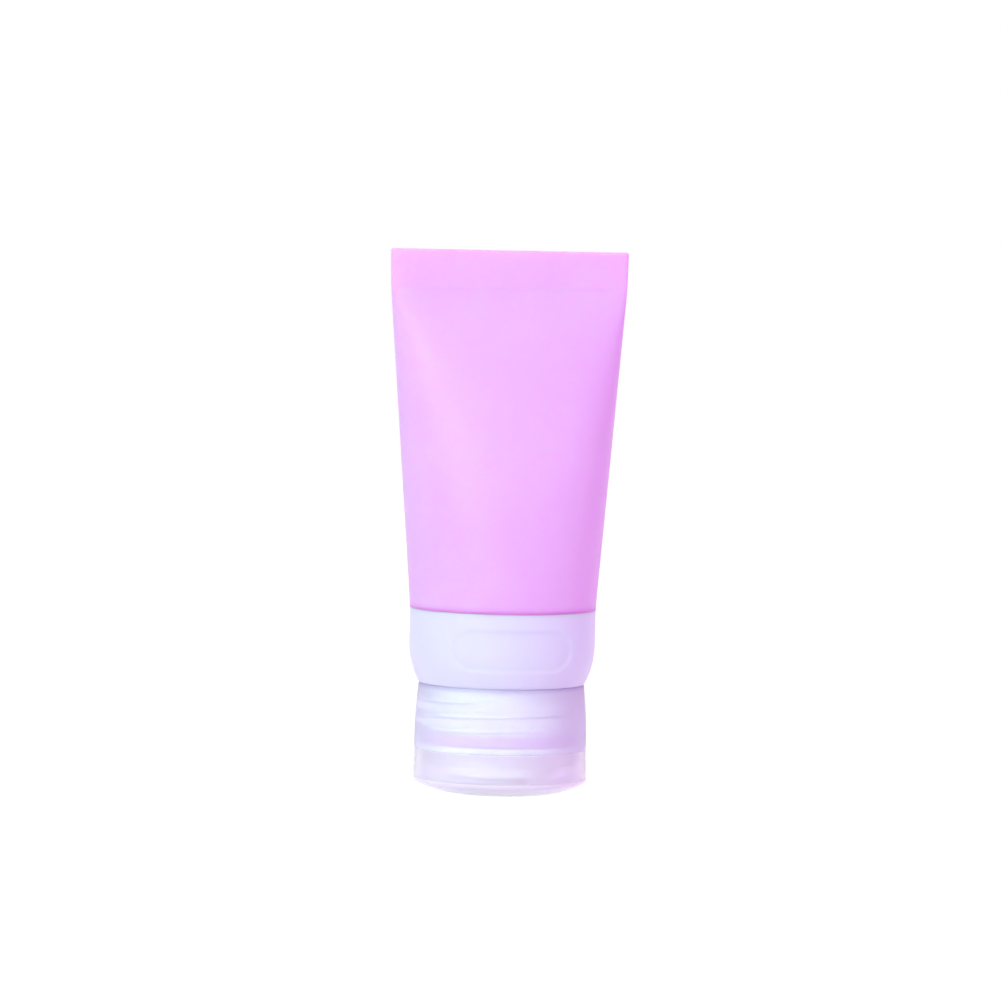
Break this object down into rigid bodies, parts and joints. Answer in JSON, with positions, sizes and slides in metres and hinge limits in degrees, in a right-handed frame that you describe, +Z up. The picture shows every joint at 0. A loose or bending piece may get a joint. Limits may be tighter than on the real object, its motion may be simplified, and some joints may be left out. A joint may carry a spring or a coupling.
{
  "type": "travel silicone bottle",
  "caption": "Soft silicone squeeze tube for travel toiletries, closed by a flat seam, with a turning window collar and a screw cap whose flip lid covers a slit valve.",
  "frame": {"origin": "centre of the flat resting face of the closed lid, on which the bottle stands", "axes": "+Z up towards the tube's flat seam, +X along the seam, -Y the front with the collar's window, +Y the back with the lid's hinge"},
  "size_m": [0.053, 0.0416, 0.121],
  "materials": {
    "tube_silicone": "matt translucent pink silicone",
    "valve_silicone": "soft clear pink silicone",
    "sleeve_plastic": "milky polypropylene",
    "collar_plastic": "milky polypropylene, satin",
    "cap_plastic": "frosted translucent polypropylene",
    "lid_plastic": "frosted translucent polypropylene"
  },
  "bodies": {
    "bottle": {"bottle_body": "tube_silicone", "neck_sleeve": "sleeve_plastic"},
    "collar": {"window_collar": "collar_plastic"},
    "valve_set": {"no_drip_valve": "valve_silicone", "valve_retainer": "sleeve_plastic"},
    "cap": {"cap_base": "cap_plastic", "hinge_film_left": "lid_plastic", "hinge_film_right": "lid_plastic", "snap_strap": "lid_plastic"},
    "lid": {"flip_lid": "lid_plastic"}
  },
  "joints": [
    {"name": "collar_turn", "type": "hinge", "parent": "bottle", "child": "collar", "pos_m": [0, 0, 0.033], "axis": [0, 0, 1], "continuous": true},
    {"name": "cap_advance", "type": "slide", "parent": "bottle", "child": "valve_set", "axis": [0, 0, -1], "range_m": [0, 0.0064]},
    {"name": "cap_turn", "type": "hinge", "parent": "valve_set", "child": "cap", "pos_m": [0, 0, 0.0175], "axis": [0, 0, -1], "range_deg": [0, 720]},
    {"name": "lid_flip", "type": "hinge", "parent": "cap", "child": "lid", "pos_m": [0, 0.0194, 0.0099], "axis": [1, 0, 0], "range_deg": [0, 140], "deforming": ["hinge_film_left", "hinge_film_right", "snap_strap"]}
  ],
  "couplings": [
    {"joint": "cap_advance", "follows": "cap_turn", "m_per_rad": 0.000509}
  ]
}
